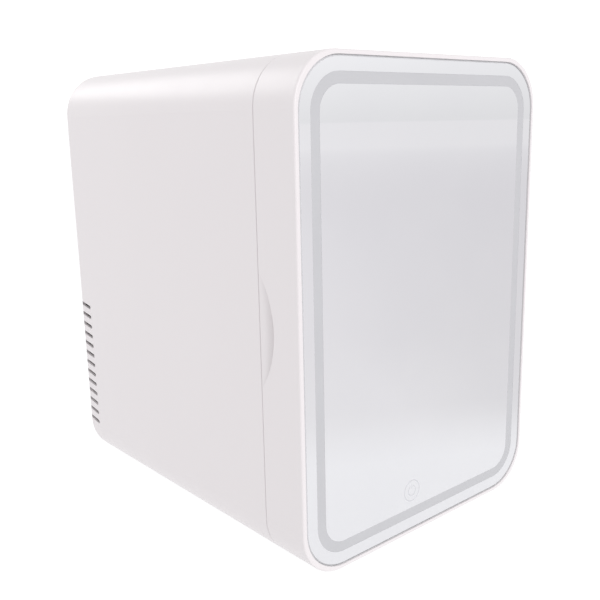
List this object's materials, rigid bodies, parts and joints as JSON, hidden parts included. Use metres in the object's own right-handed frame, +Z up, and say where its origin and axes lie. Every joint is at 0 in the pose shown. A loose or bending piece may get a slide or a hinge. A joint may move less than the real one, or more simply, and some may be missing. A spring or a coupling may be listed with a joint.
{
  "type": "mini fridge",
  "caption": "Small thermoelectric fridge: a rounded white box with a mirrored, back-lit hinged door, a sliding shelf and a door bin.",
  "frame": {"origin": "middle of the whole object's box, on the surface that the feet stand on", "axes": "+Z up, the door faces -Y, the hinges are on the +X side"},
  "size_m": [0.2446, 0.299, 0.34],
  "materials": {
    "shell_white": "moulded ABS, satin gloss, warm white",
    "liner_white": "vacuum-formed liner plastic, white",
    "mirror": "silvered glass",
    "frosted": "frosted, back-lit diffuser",
    "touch_mark": "frosted touch mark",
    "rubber": "soft light grey rubber",
    "foam": "rigid polyurethane foam, cream",
    "aluminium": "extruded, clear anodised",
    "steel": "zinc-plated",
    "hinge": "white powder coat",
    "ceramic": "alumina plates",
    "black_plastic": "moulded, fine spark texture",
    "board": "glass-epoxy board, green solder mask",
    "components": "dark component bodies",
    "lamp": "surface-mount lamp",
    "brass": "plain",
    "wire": "PVC wire insulation",
    "magnet": "bonded ferrite strip",
    "clear_plastic": "translucent tray"
  },
  "bodies": {
    "cabinet": {"outer_shell": "shell_white", "rear_cover": "shell_white", "inner_liner": "liner_white", "front_frame": "liner_white", "inner_fan_cover": "liner_white", "foot_front_left": "rubber", "foot_rear_left": "rubber", "foot_front_right": "rubber", "foot_rear_right": "rubber", "module_gasket": "rubber", "insulation_foam": "foam", "hot_heat_sink": "aluminium", "cold_heat_sink": "aluminium", "cold_block": "aluminium", "rear_cover_screws": "steel", "clamp_screws": "steel", "hot_fan_screws": "steel", "inner_cover_screws": "steel", "cabinet_hinge_screws": "steel", "hinge_pins": "steel", "board_standoffs": "steel", "cabinet_hinge_leaf_bottom": "hinge", "cabinet_hinge_leaf_top": "hinge", "peltier_module": "ceramic", "hot_fan_frame": "black_plastic", "cold_fan_frame": "black_plastic", "ac_inlet": "black_plastic", "dc_jack": "black_plastic", "switch_housing": "black_plastic", "power_board": "board", "transformer": "components", "capacitors": "components", "board_sockets": "components", "ac_pins": "brass", "dc_pin": "brass", "hot_fan_bush": "brass", "cold_fan_bush": "brass", "fan_leads": "wire", "module_leads": "wire", "inlet_leads": "wire"},
    "door": {"door_shell": "shell_white", "mirror_glass": "mirror", "frosted_light_band": "frosted", "touch_mark": "touch_mark", "led_strip": "board", "led_lamps": "lamp", "touch_board": "board", "door_foam": "foam", "door_inner_panel": "liner_white", "door_panel_screws": "steel", "door_gasket": "rubber", "gasket_magnet": "magnet", "door_hinge_leaf_bottom": "hinge", "door_hinge_leaf_top": "hinge", "door_hinge_screws": "steel"},
    "shelf": {"shelf": "liner_white"},
    "hot_fan_rotor": {"hot_fan_rotor": "black_plastic"},
    "cold_fan_rotor": {"cold_fan_rotor": "black_plastic"},
    "mode_rocker": {"mode_rocker": "black_plastic"},
    "door_bin": {"door_bin": "clear_plastic"}
  },
  "joints": [
    {"name": "door_hinge", "type": "hinge", "parent": "cabinet", "child": "door", "pos_m": [0.1191, -0.11095, 0.1715], "axis": [0, 0, 1], "range_deg": [0, 120]},
    {"name": "door_bin_lift", "type": "slide", "parent": "door", "child": "door_bin", "axis": [0, 0, 1], "range_m": [0, 0.042]},
    {"name": "shelf_slide", "type": "slide", "parent": "cabinet", "child": "shelf", "axis": [0, -1, 0], "range_m": [0, 0.008]},
    {"name": "hot_fan_spin", "type": "hinge", "parent": "cabinet", "child": "hot_fan_rotor", "pos_m": [-0.0033, 0.1285, 0.095], "axis": [0, 1, 0], "continuous": true},
    {"name": "cold_fan_spin", "type": "hinge", "parent": "cabinet", "child": "cold_fan_rotor", "pos_m": [-0.0033, 0.0465, 0.095], "axis": [0, 1, 0], "continuous": true},
    {"name": "mode_switch_rock", "type": "hinge", "parent": "cabinet", "child": "mode_rocker", "pos_m": [0.0347, 0.1411, 0.19], "axis": [0, 0, 1], "range_deg": [-10, 10]}
  ]
}
